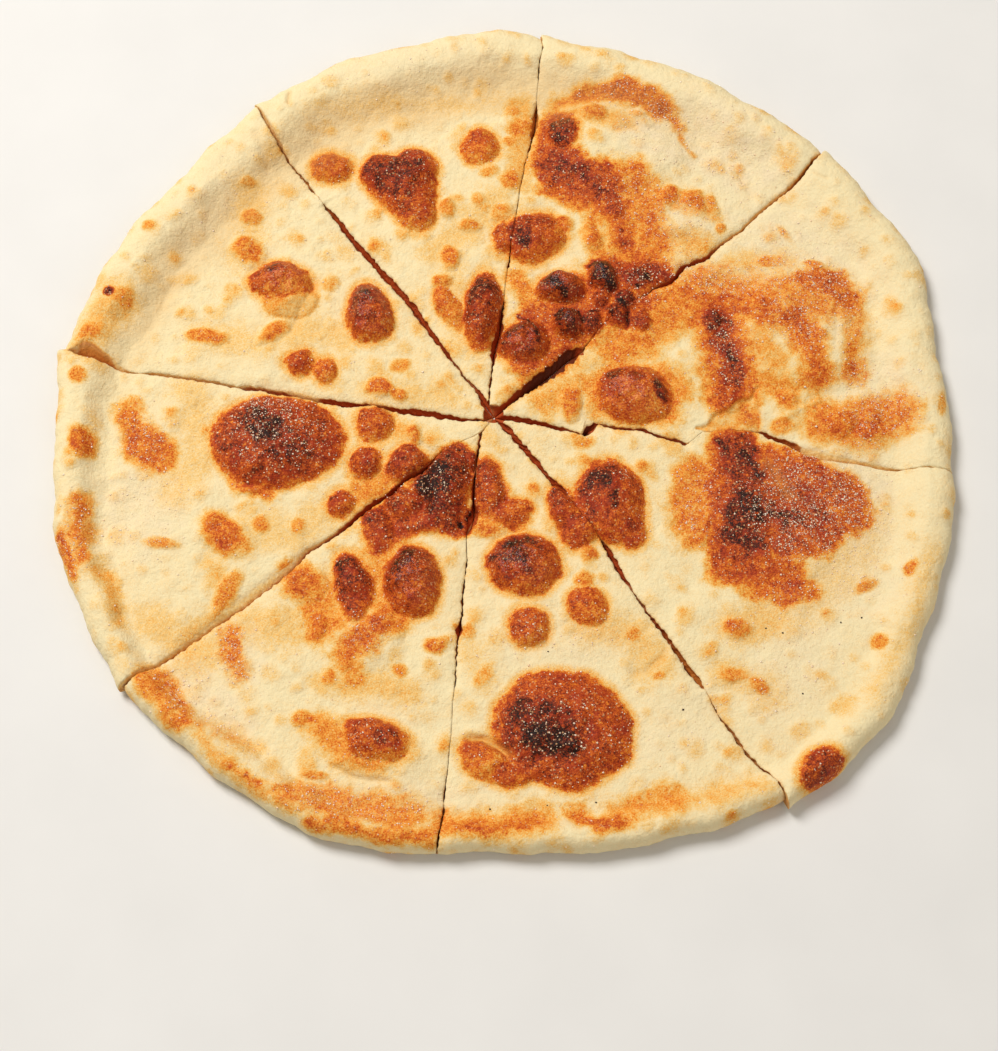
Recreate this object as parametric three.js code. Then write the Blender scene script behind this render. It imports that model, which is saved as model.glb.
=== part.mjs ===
// Focaccia: a round hearth-baked flat bread, blistered on top, with a low puffed rim. Eight slices,
// cut with a knife from a point near the middle, still lie together as the whole round.
// Millimetres, +Z up. The origin is on the underside, below the middle of the bread's own box.
import * as THREE from 'three';

// ---- Driving dimensions ----
const HUB = new THREE.Vector2(-4, 0);   // where the eight cuts meet
const SHEET = 5;                        // thickness of the bread where it has not puffed
const KNIFE_GAP = 0.4;                  // the least gap that a cut leaves between two slices
const HUB_HOLE = 3.5;                   // how far from the hub the points of the slices end
const EDGE_HEIGHT = 4;                  // height of the outermost line of the rim
const RIM_ZONE = 30;                    // the outer band whose rows follow the outline
const UNDERCUT = 7;                     // how far the rim's underside curls up, measured inward
const TIP_SPREAD = 7;                   // how far a slice's pulled-out corner reaches along the rim
const RIPPLE = 0.5;                     // height of the slow unevenness of the top
const OUTLINE_RIPPLE = 0.35;            // unevenness of the outline

// The outline: distance from the hub every 10 degrees, counter-clockwise from +X.
const REACH = [
  167.8, 166.8, 172.5, 170, 169.3, 166, 165.7, 163.5, 163.4,
  165.4, 162.6, 162.2, 160.5, 157.9, 156.2, 157.8, 159.6, 161.7,
  161.4, 162.8, 166, 166.8, 168.6, 168.2, 168.9, 171.3, 167.8,
  165.8, 168, 172, 176.4, 182, 181.2, 175.6, 172.7, 169.9,
];

// The rim every 30 degrees: how wide it is, and how high its crest stands.
const RIM = [
  [22, 10], [24, 10.5], [26, 11], [28, 12], [29, 12.5], [27, 12],
  [22, 11], [17, 10.5], [15, 11], [13, 10], [14, 10.5], [20, 10],
];

// Each cut has a bearing and a course. A course row is: distance along the bearing, how far the cut
// has wandered to the left of it, and how wide it gapes there.
const CUTS = {
  east: { bearing: -8.4, course: [
    [4, -0.7, 2.2], [21, -1.6, 1.6], [34, -3, 0.5], [39, 2, 0.8], [55, 1.9, 0.9], [72, -1.4, 0.9],
    [78, 4.3, 0.8], [97, 6.3, 1.2], [110, 0.8, 3], [123, -1.5, 2.8], [148, -1.1, 0.5], [171, 0, 0.5],
  ] },
  northEast: { bearing: 40.9, course: [
    [3, 0, 2], [19, -2.2, 3.6], [38, -0.5, 4.4], [46, -1.4, 0.4], [71, 0.5, 0.5], [87, -2.2, 1.3],
    [95, -0.8, 1.1], [106, -3.8, 1.1], [122, -3.4, 0.5], [140, -2.3, 0.5], [154, -2.7, 1.2], [167, 0, 0.8],
  ] },
  north: { bearing: 83.7, course: [
    [5, 2.4, 1.6], [20, 2.8, 1], [29, 2.4, 3.4], [44, 2.1, 1.6], [60, 1.6, 0.6], [95, 0.5, 0.5],
    [118, -1.4, 1], [128, -1.9, 2.2], [138, -1.7, 0.4], [149, -1.2, 0.5], [156, -1.9, 0.5], [165, 0, 0.6],
  ] },
  northWest: { bearing: 125.3, course: [
    [3, 0, 3.2], [13, -0.4, 1.2], [27, 0, 1.1], [38, -0.2, 2.2], [71, 0.3, 2.5], [86, 1.7, 1.6],
    [115, 2.1, 0.9], [139, 2.9, 0.4], [162, 0, 0.4],
  ] },
  west: { bearing: 171.2, course: [
    [4, 3.2, 1.4], [20, 3.6, 2.3], [35, 3.8, 2.1], [45, 3.1, 0.6], [54, 4.9, 1], [86, 3.8, 0.6],
    [107, 4.9, 0.8], [137, 4, 1.2], [147, 2, 1.5], [161, 0, 0.8],
  ] },
  southWest: { bearing: 219.2, course: [
    [9, 2.7, 0.8], [22, 0, 0.6], [37, 1.8, 1.8], [43, 0, 1.6], [55, 0, 2], [71, 1.5, 1.6],
    [86, 0, 2], [94, 2.3, 2.4], [122, 2.5, 3], [134, 1.6, 1.8], [169, 0, 1.2],
  ] },
  south: { bearing: 263.3, course: [
    [5, -3.8, 1.4], [24, -4.3, 1], [37, -3, 2], [44, -2.9, 6], [51, -4.2, 0.5], [77, -2.5, 0.8],
    [84, -2.2, 2.2], [89, -2.2, 0.9], [108, -1.3, 0.4], [147, 0, 0.5], [165, 0, 0.7],
  ] },
  southEast: { bearing: 304.2, course: [
    [3, 0.1, 2.4], [24, 1.9, 2], [38, 2.8, 2.2], [43, 3.4, 0.4], [62, 3.8, 0.5], [71, 3.3, 2.4],
    [87, 1.7, 0.7], [103, 1.6, 1.6], [125, 1.2, 2.4], [130, 1.1, 0.4], [157, -0.3, 1], [179, 0, 0.4],
  ] },
};

// Each slice: the cuts on its right and left seen from the hub, how many rows its blunted point has
// lost, how far its two outer corners are pulled out, and its puffs. A puff row is: centre x and y,
// length, width, turn of the length from +X in degrees, and rise. A negative rise is torn-open skin.
const SLICES = {
  slice_right_back: { right: 'east', left: 'northEast', blunt: 0, tips: [0, 1.4], puffs: [
    [45, 7, 33, 25, 0, 8], [82, 26, 35, 24, 80, 6], [107, 35, 17, 13, 90, 3], [122, 51, 19, 14, 0, 3],
    [97, 42, 15, 14, 0, 3], [126, -8, 18, 14, 90, 3], [98, 61, 14, 9, 0, 3], [104, 4, 13, 11, 90, 2.5],
    [85, 0, 22, 12, 0, -2.4],
  ] },
  slice_back_right: { right: 'northEast', left: 'north', blunt: 0, tips: [-1, 1.6], puffs: [
    [5, 28, 21, 17, 90, 9], [21, 50, 19, 15, 0, 9], [24, 36, 13, 13, 0, 8], [37, 54, 15, 14, 0, 8],
    [40, 41, 15, 13, 90, 7], [51, 48, 13, 13, 0, 6], [10, 73, 24, 18, 50, 7], [43, 71, 18, 12, 90, 4],
    [60, 74, 25, 14, 90, 3], [24, 118, 17, 14, 90, 5], [25, 101, 26, 22, 0, 5], [39, 97, 20, 14, 90, 4],
    [42, 136, 42, 12, 0, 3],
  ] },
  slice_back_left: { right: 'north', left: 'northWest', blunt: 1, tips: [-0.6, 2], puffs: [
    [-66, 102, 16, 15, 0, 4], [-41, 98, 28, 20, 0, 9], [-36, 85, 18, 15, 80, 7], [-9, 112, 16, 15, 0, 4],
    [-9, 43, 29, 13, 75, 8], [-20, 41, 17, 9, 110, 4], [-22, 65, 10, 9, 0, 3],
  ] },
  slice_left_back: { right: 'northWest', left: 'west', blunt: 0, tips: [1, 0], puffs: [
    [-83, 52, 24, 19, 0, 7], [-97, 67, 16, 16, 0, 4], [-49, 37, 23, 18, 90, 8], [-75, 20, 14, 11, 0, 4],
    [-65, 17, 11, 9, 90, 4], [-112, 31, 18, 8, 0, 2], [-27, 22, 17, 15, 0, 2], [-151, 34, 14, 10, 60, 3],
  ] },
  slice_left_front: { right: 'west', left: 'southWest', blunt: 2, tips: [2.4, 0.8], puffs: [
    [-83, -14, 50, 41, 0, 9], [-127, -15, 18, 13, 100, 4], [-137, -5, 17, 10, 110, 3],
    [-102, -48, 24, 15, -35, 4], [-48, -4, 14, 12, 90, 5], [-51, -20, 14, 12, 90, 4],
    [-34, -20, 17, 14, 90, 5], [-59, -35, 12, 11, 0, 4], [-154, -11, 17, 12, 90, 3],
  ] },
  slice_front_left: { right: 'southWest', left: 'south', blunt: 2, tips: [-1, 0], puffs: [
    [-24, -32, 31, 25, 60, 7], [-34, -68, 25, 22, 90, 9], [-54, -68, 30, 12, 105, 6],
    [-45, -46, 15, 10, 110, 4], [-46, -127, 28, 17, -15, 6], [-70, -66, 18, 13, 90, 3],
    [-50, -86, 16, 14, 0, 2], [-94, -92, 19, 13, 120, 3], [-118, -112, 18, 14, 0, 3],
  ] },
  slice_front_right: { right: 'south', left: 'southEast', blunt: 0, tips: [0, -1.6], puffs: [
    [7, -62, 27, 24, 0, 8], [30, -77, 15, 13, 60, 3], [8, -85, 15, 15, 0, 4], [20, -125, 48, 46, 0, 10],
    [-4, -134, 24, 15, 0, 5], [-4, -32, 27, 13, 90, 5], [24, -41, 18, 16, 0, 6],
  ] },
  slice_right_front: { right: 'southEast', left: 'east', blunt: 1, tips: [2, 0], puffs: [
    [100, -38, 60, 54, 0, 6], [39, -32, 27, 24, 0, 7], [110, -135, 22, 14, 50, 3],
    [105, -68, 19, 17, 90, 2.5], [82, -85, 16, 13, 0, 3], [78, -62, 14, 12, 90, 2.5],
  ] },
};

// ---- How finely the surface is divided ----
const COLUMNS = 13;
const INNER_ROWS = 22;
const RIM_INSETS = [27, 23.5, 20, 16.5, 13, 10, UNDERCUT, 4.5, 2.4, 0.9, 0];
const ROWS = INNER_ROWS + RIM_INSETS.length;
const FLAT_ROW = INNER_ROWS + RIM_INSETS.indexOf(UNDERCUT);

const crust = { color: 0xeddcae, roughness: 0.75, metalness: 0 };
const radians = THREE.MathUtils.degToRad;
const { smoothstep, lerp } = THREE.MathUtils;

// A closed smooth curve through rows of up to two values, spaced evenly round the bread.
function roundCurve(rows) {
  const points = rows.map(([first, second = 0]) => new THREE.Vector3(first, second, 0));
  const curve = new THREE.CatmullRomCurve3(points, true, 'catmullrom', 0.5);
  return (angle) => curve.getPoint(THREE.MathUtils.euclideanModulo(angle / (2 * Math.PI), 1));
}

const reachCurve = roundCurve(REACH.map((value) => [value]));
const rimCurve = roundCurve(RIM);

// Distance from the hub to the outline of the whole round.
function reachAt(angle) {
  const ripple = Math.sin(17 * angle) + Math.sin(29 * angle + 2) + Math.sin(47 * angle + 4);
  return reachCurve(angle).x + OUTLINE_RIPPLE * ripple;
}

// The course of a cut: its wander and its gap at a distance along its bearing.
function courseAt(cut, distance) {
  const rows = cut.course;
  const next = rows.findIndex((row) => row[0] >= distance);
  if (next <= 0) {
    const [, wander, gap] = next === 0 ? rows[0] : rows[rows.length - 1];
    return { wander, gap };
  }
  const [from, to] = [rows[next - 1], rows[next]];
  const share = (distance - from[0]) / (to[0] - from[0]);
  return { wander: lerp(from[1], to[1], share), gap: lerp(from[2], to[2], share) };
}

// How far out a row lies: growing steps up to the rim zone, then set distances in from the outline.
function rowRadius(row, reach) {
  if (row < INNER_ROWS) {
    return lerp(HUB_HOLE, reach - RIM_ZONE, (row / INNER_ROWS) ** 1.2);
  }
  return reach - RIM_INSETS[row - INNER_ROWS];
}

// The point where a row meets a cut, on the side of the slice that looks at it, as angle and radius.
function edgePoint(cutName, row, side, tip) {
  const cut = CUTS[cutName];
  const bearing = radians(cut.bearing);
  const distance = rowRadius(row, reachAt(bearing)) + (row < INNER_ROWS ? 0 : tip);
  const { wander, gap } = courseAt(cut, distance);
  const across = wander + side * Math.max(gap, KNIFE_GAP) / 2;
  return { angle: bearing + Math.atan2(across, distance), radius: Math.hypot(distance, across) };
}

// Every point of one row of a slice, from its right cut to its left cut.
function rowPoints(slice, row) {
  const right = edgePoint(slice.right, row, 1, slice.tips[0]);
  const left = edgePoint(slice.left, row, -1, slice.tips[1]);
  const turn = THREE.MathUtils.euclideanModulo(left.angle - right.angle, 2 * Math.PI);
  const spread = TIP_SPREAD / (turn * left.radius);
  const points = [];
  for (let column = 0; column <= COLUMNS; column += 1) {
    const share = column / COLUMNS;
    const angle = right.angle + share * turn;
    const reach = reachAt(angle);
    const rightPull = right.radius - rowRadius(row, reachAt(right.angle));
    const leftPull = left.radius - rowRadius(row, reachAt(left.angle));
    const pull = row < INNER_ROWS
      ? lerp(rightPull, leftPull, share)
      : rightPull * Math.exp(-share / spread) + leftPull * Math.exp((share - 1) / spread);
    const radius = rowRadius(row, reach) + pull;
    points.push({
      x: HUB.x + radius * Math.cos(angle),
      y: HUB.y + radius * Math.sin(angle),
      angle,
      inset: row < INNER_ROWS ? reach - radius : RIM_INSETS[row - INNER_ROWS],
    });
  }
  return points;
}

// The rim's height above the sheet: a quarter round up to its crest, then an easy slope inward.
function rimHeight(angle, inset) {
  const { x: width, y: crestHeight } = rimCurve(angle);
  const crest = width * 0.35;
  if (inset < crest) {
    const fall = 1 - inset / crest;
    return lerp(EDGE_HEIGHT, crestHeight, Math.sqrt(1 - fall * fall));
  }
  return lerp(crestHeight, SHEET, smoothstep(inset, crest, width));
}

// How far a puff lifts the top at a point.
function puffLift([centreX, centreY, length, width, turn, rise], x, y) {
  const angle = radians(turn);
  const along = (x - centreX) * Math.cos(angle) + (y - centreY) * Math.sin(angle);
  const across = (y - centreY) * Math.cos(angle) - (x - centreX) * Math.sin(angle);
  const reached = (2 * along / length) ** 2 + (2 * across / width) ** 2;
  return reached < 1 ? rise * (1 - reached) ** 0.7 : 0;
}

function topHeight(slice, { x, y, angle, inset }) {
  let lift = 0;
  let torn = 0;
  for (const puff of slice.puffs) {
    const height = puffLift(puff, x, y);
    lift = Math.max(lift, height);
    torn = Math.min(torn, height);
  }
  const ripple = Math.sin(x / 9 + 1) * Math.sin(y / 11) + Math.sin(x / 17 - y / 13 + 2);
  const fade = smoothstep(inset, 0, UNDERCUT);
  return rimHeight(angle, inset) + fade * (lift + torn + RIPPLE * ripple);
}

// The underside is flat, and curls up under the rim to meet the outline.
function underHeight({ inset }) {
  if (inset >= UNDERCUT) {
    return 0;
  }
  const fall = 1 - inset / UNDERCUT;
  return EDGE_HEIGHT * (1 - Math.sqrt(1 - fall * fall));
}

// ---- The closed body of one slice ----
function sliceGeometry(slice) {
  const positions = [];
  const faces = [];
  const addPoint = (point, height) => positions.push(point.x, point.y, height) / 3 - 1;
  const addQuad = (a, b, c, d) => faces.push(a, b, c, a, c, d);

  const tops = [];
  const unders = [];
  for (let row = slice.blunt; row < ROWS; row += 1) {
    const points = rowPoints(slice, row);
    const top = points.map((point) => addPoint(point, topHeight(slice, point)));
    const under = points.map((point, column) => {
      const onCut = column === 0 || column === COLUMNS;
      const needed = onCut || row === slice.blunt || row >= FLAT_ROW;
      return needed ? addPoint(point, underHeight(point)) : null;
    });
    tops.push(top);
    unders.push(row === ROWS - 1 ? top : under);
  }

  const last = tops.length - 1;
  const flat = FLAT_ROW - slice.blunt;
  for (let row = 0; row < last; row += 1) {
    for (let column = 0; column < COLUMNS; column += 1) {
      const [near, far] = [tops[row], tops[row + 1]];
      addQuad(near[column], far[column], far[column + 1], near[column + 1]);
      if (row >= flat) {
        const [low, high] = [unders[row], unders[row + 1]];
        addQuad(low[column], low[column + 1], high[column + 1], high[column]);
      }
    }
  }

  // The two cut faces; at the outline they end in one triangle.
  for (let row = 0; row < last; row += 1) {
    for (const [column, flip] of [[0, false], [COLUMNS, true]]) {
      const corners = [tops[row], unders[row], unders[row + 1], tops[row + 1]].map((line) => line[column]);
      const [a, b, c, d] = flip ? corners.reverse() : corners;
      if (row < last - 1) {
        addQuad(a, b, c, d);
      } else {
        faces.push(...[...new Set([a, b, c, d])]);
      }
    }
  }

  // The blunted point.
  for (let column = 0; column < COLUMNS; column += 1) {
    addQuad(tops[0][column], tops[0][column + 1], unders[0][column + 1], unders[0][column]);
  }

  // The flat underside, as one outline filled with triangles.
  const outline = [...unders[0]];
  for (let row = 1; row <= flat; row += 1) {
    outline.push(unders[row][COLUMNS]);
  }
  outline.push(...unders[flat].slice(0, COLUMNS).reverse());
  for (let row = flat - 1; row > 0; row -= 1) {
    outline.push(unders[row][0]);
  }
  const flatPoints = outline.map((n) => new THREE.Vector2(positions[3 * n], positions[3 * n + 1]));
  for (const [a, b, c] of THREE.ShapeUtils.triangulateShape(flatPoints, [])) {
    faces.push(outline[a], outline[c], outline[b]);
  }

  const geometry = new THREE.BufferGeometry();
  geometry.setAttribute('position', new THREE.Float32BufferAttribute(positions, 3));
  geometry.setIndex(faces);
  geometry.computeVertexNormals();
  return geometry;
}

const focaccia = new THREE.Group();
focaccia.name = 'focaccia';
for (const [name, slice] of Object.entries(SLICES)) {
  const mesh = new THREE.Mesh(sliceGeometry(slice), new THREE.MeshStandardMaterial(crust));
  mesh.name = name;
  focaccia.add(mesh);
}

export default focaccia;
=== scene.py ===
"""The looks of a round, blistered focaccia cut into eight slices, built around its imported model.

Sizes in this script are millimetres until a mesh is made, and bearings are degrees counter-clockwise
from +X, as in the model. Heights start at the surface that the bread lies on.
"""

import math

import bpy
import numpy as np
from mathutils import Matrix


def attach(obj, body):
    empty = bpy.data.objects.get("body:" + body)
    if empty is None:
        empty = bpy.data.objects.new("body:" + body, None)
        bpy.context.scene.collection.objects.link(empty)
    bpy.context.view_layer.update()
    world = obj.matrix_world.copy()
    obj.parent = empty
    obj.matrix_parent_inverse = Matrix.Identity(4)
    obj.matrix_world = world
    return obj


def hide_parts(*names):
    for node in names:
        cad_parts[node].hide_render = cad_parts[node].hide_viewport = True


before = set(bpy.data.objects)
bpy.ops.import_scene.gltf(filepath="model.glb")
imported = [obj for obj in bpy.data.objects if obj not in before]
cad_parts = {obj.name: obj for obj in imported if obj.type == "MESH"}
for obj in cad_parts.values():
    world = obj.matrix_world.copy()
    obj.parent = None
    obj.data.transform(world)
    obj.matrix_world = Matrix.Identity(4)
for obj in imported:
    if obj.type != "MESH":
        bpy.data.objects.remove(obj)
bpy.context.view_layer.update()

MM = 0.001

# ---- The bread's driving sizes, as in the model ----
HUB = (-4, 0)
RADIUS = 165
SHEET = 5
EDGE_HEIGHT = 4
UNDERCUT = 7
CREST_SHARE = 0.35
TIP_SPREAD = 7
SIDE_REACH = 3.5
# Evenly round from +X: from the hub to the outline, and the rim's width and the height of its crest.
REACH = (
    167.8, 166.8, 172.5, 170, 169.3, 166, 165.7, 163.5, 163.4,
    165.4, 162.6, 162.2, 160.5, 157.9, 156.2, 157.8, 159.6, 161.7,
    161.4, 162.8, 166, 166.8, 168.6, 168.2, 168.9, 171.3, 167.8,
    165.8, 168, 172, 176.4, 182, 181.2, 175.6, 172.7, 169.9,
)
RIM_WIDTH = (22, 24, 26, 28, 29, 27, 22, 17, 15, 13, 14, 20)
RIM_CREST = (10, 10.5, 11, 12, 12.5, 12, 11, 10.5, 11, 10, 10.5, 10)

# Each cut: its bearing, and rows of distance from the hub and, in tenths of a millimetre, wander to the
# left, gap, and how far the upper skin of the slice behind it is set back from the knife's line, if at all.
CUTS = {
    "east": (-8.4, (
        (4, -7, 22), (11, -8, 24), (21, -16, 16), (30, -27, 10), (33, -31, 3), (34, -12, 40), (37, 4, 40),
        (38.5, 20, 4), (44, 11, 10), (49, 10, 13), (55, 19, 13), (63, -4, 12), (71, -14, 11), (73, -5, 0),
        (77, 43, 1), (85, 63, 1), (92, 72, 2), (97, 72, 5), (100, 63, 16, 1), (106, 45, 16, 2),
        (111, 24, 26, 3), (113, 10, 16, 12), (114.5, -4, 5, 30), (119, -12, 4, 34), (124, -15, 3, 33),
        (130, -14, 2, 27), (136, -9, 2, 14), (142, -14, 2, 18), (147, -13, 2, 12), (151, -10, 1, 1),
        (161, 2, 4), (171, 0, 4),
    )),
    "north_east": (40.9, (
        (3, 0, 18), (11, 0, 30), (19, -8, 40), (30, -6, 46), (37, -3, 52), (41, -12, 40), (43, -16, 3),
        (56, 6, 0), (71, 5, 0), (76, 0, 6), (81, -4, 12), (87, -23, 17, 2), (94, -7, 14, 4),
        (104, -39, 15, 6), (109, -29, 9, 6), (122, -34, 4, 8), (131, -28, 4, 10), (140, -23, 5, 8),
        (152, -29, 11, 6), (160, -12, 9, 4), (167, 0, 6),
    )),
    "north": (83.7, (
        (5, 24, 4), (10, 28, 5), (19, 28, 6), (23, 28, 20), (28, 25, 32), (34, 19, 26), (42, 21, 16),
        (47, 16, 1), (60, 16, 1), (62, 16, 8), (67, 14, 8), (69, 14, 1), (79, 10, 2), (95, 5, 2),
        (108, -5, 3), (116, -12, 8), (122, -19, 19), (128, -19, 23), (132, -18, 10), (134, -18, 0),
        (141, -15, 0), (144, -13, 4), (149, -12, 4), (156, -19, 3), (165, 0, 5),
    )),
    "north_west": (125.3, (
        (3, 0, 34), (7, -2, 28), (13, -4, 12), (20, 1, 8), (27, 1, 11), (37, -1, 21), (52, -5, 25),
        (71, 3, 24), (86, 15, 22), (103, 18, 20), (108, 19, 12), (110, 20, 1), (114, 21, 1), (117, 23, 9),
        (128, 29, 8), (136, 29, 7, 2), (140, 29, 4, 12), (152, 22, 3, 16), (157, 10, 1, 4), (162, 0, 1),
    )),
    "west": (171.2, (
        (4, 32, 9), (12, 39, 14), (20, 35, 24, 1), (29, 32, 25, 2), (35, 40, 20, 1), (45, 31, 5, 1),
        (50, 40, 17, 1), (57, 46, 22, 2), (64, 43, 16, 5), (67, 41, 4, 9), (74, 40, 4, 9), (78, 40, 12, 8),
        (92, 40, 11, 8), (96, 40, 4, 6), (107, 36, 4, 8), (127, 35, 4, 9), (132, 40, 1, 1), (137, 41, 4, 6),
        (141, 34, 8, 16), (144, 26, 14, 26), (147.5, 22, 16, 38), (152, 18, 18, 50), (155, 15, 15, 40),
        (157.5, 12, 8, 15), (160, 8, 2, 2), (166, -2, 1),
    )),
    "south_west": (219.2, (
        (9, 27, 2), (19, 11, 0), (24, -4, 2), (30, 6, 11), (36, 19, 18), (43, 0, 16), (49, 14, 20),
        (55, -1, 20), (64, 8, 16, 4), (71, 15, 12, 6), (80, 9, 9, 8), (87, 0, 9, 12), (94, 20, 9, 20),
        (100, 24, 9, 28), (107, 24, 9, 32), (115, 24, 9, 32), (122, 22, 9, 28), (134, 15, 8, 14),
        (148, 14, 8, 10), (163, 8, 6, 8), (169, 0, 6, 6),
    )),
    "south": (263.3, (
        (5, -38, 9), (9, -39, 9), (16, -42, 10), (23, -44, 10), (30, -38, 12), (37, -30, 16), (40, -26, 24),
        (45, -30, 28), (48, -39, 16), (49, -42, 2), (58, -30, 3), (67, -29, 5), (77, -25, 7), (83, -22, 10),
        (85, -23, 28), (88, -23, 10), (93, -22, 7), (103, -15, 5), (108, -13, 1), (127, -4, 1), (135, -1, 2),
        (147, 0, 4), (154, 3, 5), (165, 0, 6),
    )),
    "south_east": (304.2, (
        (3, 1, 24), (12, 10, 23), (24, 19, 20), (31, 22, 12), (36, 26, 22), (41, 33, 20), (43, 34, 1),
        (61, 38, 1), (64, 38, 8), (69, 36, 23), (74, 27, 23), (80, 20, 16), (86, 18, 5), (94, 11, 9),
        (103, 16, 15), (111, 9, 15), (119, 11, 20), (125, 12, 24), (128.5, 11, 12), (130, 11, 0),
        (132, 10, 2), (141, -3, 6), (148, -2, 9), (157, -3, 9), (167, 12, 9), (175, 12, 4), (181, 0, 1),
    )),
}

# Slices from the left of the first cut on: how far the right and left corners of each pull out.
SLICES = {
    "slice_right_back": (0, 1.4), "slice_back_right": (-1, 1.6), "slice_back_left": (-0.6, 2),
    "slice_left_back": (1, 0), "slice_left_front": (2.4, 0.8), "slice_front_left": (-1, 0),
    "slice_front_right": (0, -1.6), "slice_right_front": (2, 0),
}

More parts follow.
